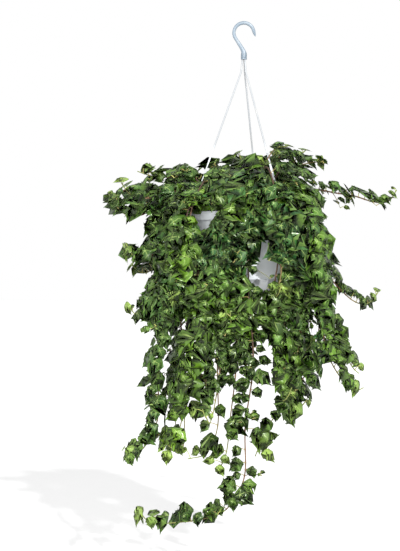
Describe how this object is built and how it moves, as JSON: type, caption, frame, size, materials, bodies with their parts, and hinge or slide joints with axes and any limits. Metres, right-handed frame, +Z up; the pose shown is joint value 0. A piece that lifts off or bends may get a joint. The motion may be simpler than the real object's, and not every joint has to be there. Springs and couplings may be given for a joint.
{
  "type": "hanging pot with ivy",
  "caption": "English ivy with long trailing leafy stems in a round plastic hanging pot with a drip saucer, on a three-strand plastic hanger with a hook.",
  "frame": {"origin": "the hook's seat: the inside of the top of its arc, where the ring or rod that it hangs on bears", "axes": "+Z up; the hook lies in the XZ plane and opens towards +X; -Y is the plant's front"},
  "size_m": [0.4783, 0.2889, 0.8249],
  "materials": {
    "hook": "satin",
    "strand": "satin",
    "pot": "satin",
    "soil": "matte",
    "foliage": "satin"
  },
  "bodies": {
    "root": {"hanger_hook": "hook", "hanger_strand_1": "strand", "hanger_strand_2": "strand", "hanger_strand_3": "strand", "pot": "pot", "drip_saucer": "pot", "soil": "soil", "crown_stem_01": "foliage", "crown_stem_02": "foliage", "crown_stem_03": "foliage", "crown_stem_04": "foliage", "crown_stem_05": "foliage", "crown_stem_06": "foliage", "crown_stem_07": "foliage", "crown_stem_08": "foliage", "crown_stem_09": "foliage", "crown_stem_10": "foliage", "curtain_stem_01": "foliage", "curtain_stem_02": "foliage", "curtain_stem_03": "foliage", "curtain_stem_04": "foliage", "curtain_stem_05": "foliage", "curtain_stem_06": "foliage", "curtain_stem_07": "foliage", "curtain_stem_08": "foliage", "curtain_stem_09": "foliage", "curtain_stem_10": "foliage", "front_left_long_stem": "foliage", "front_left_short_stem": "foliage", "front_middle_long_stem": "foliage", "front_right_long_stem": "foliage", "front_right_short_stem": "foliage", "front_short_stem": "foliage", "front_small_leaf_stem": "foliage", "left_back_arch": "foliage", "left_crown_stem": "foliage", "left_long_stem": "foliage", "left_lower_arch": "foliage", "left_reaching_stem": "foliage", "left_side_stem": "foliage", "left_upper_arch": "foliage", "right_arch": "foliage", "right_crown_stem": "foliage", "right_inward_stem": "foliage", "right_lower_stem": "foliage", "right_reaching_stem": "foliage", "skirt_stem_01": "foliage", "skirt_stem_02": "foliage", "skirt_stem_03": "foliage", "skirt_stem_04": "foliage", "skirt_stem_05": "foliage", "skirt_stem_06": "foliage", "skirt_stem_07": "foliage", "skirt_stem_08": "foliage", "skirt_stem_09": "foliage", "skirt_stem_10": "foliage", "tail_stem": "foliage", "top_left_stem": "foliage", "top_middle_stem": "foliage", "top_right_stem": "foliage"}
  },
  "joints": []
}
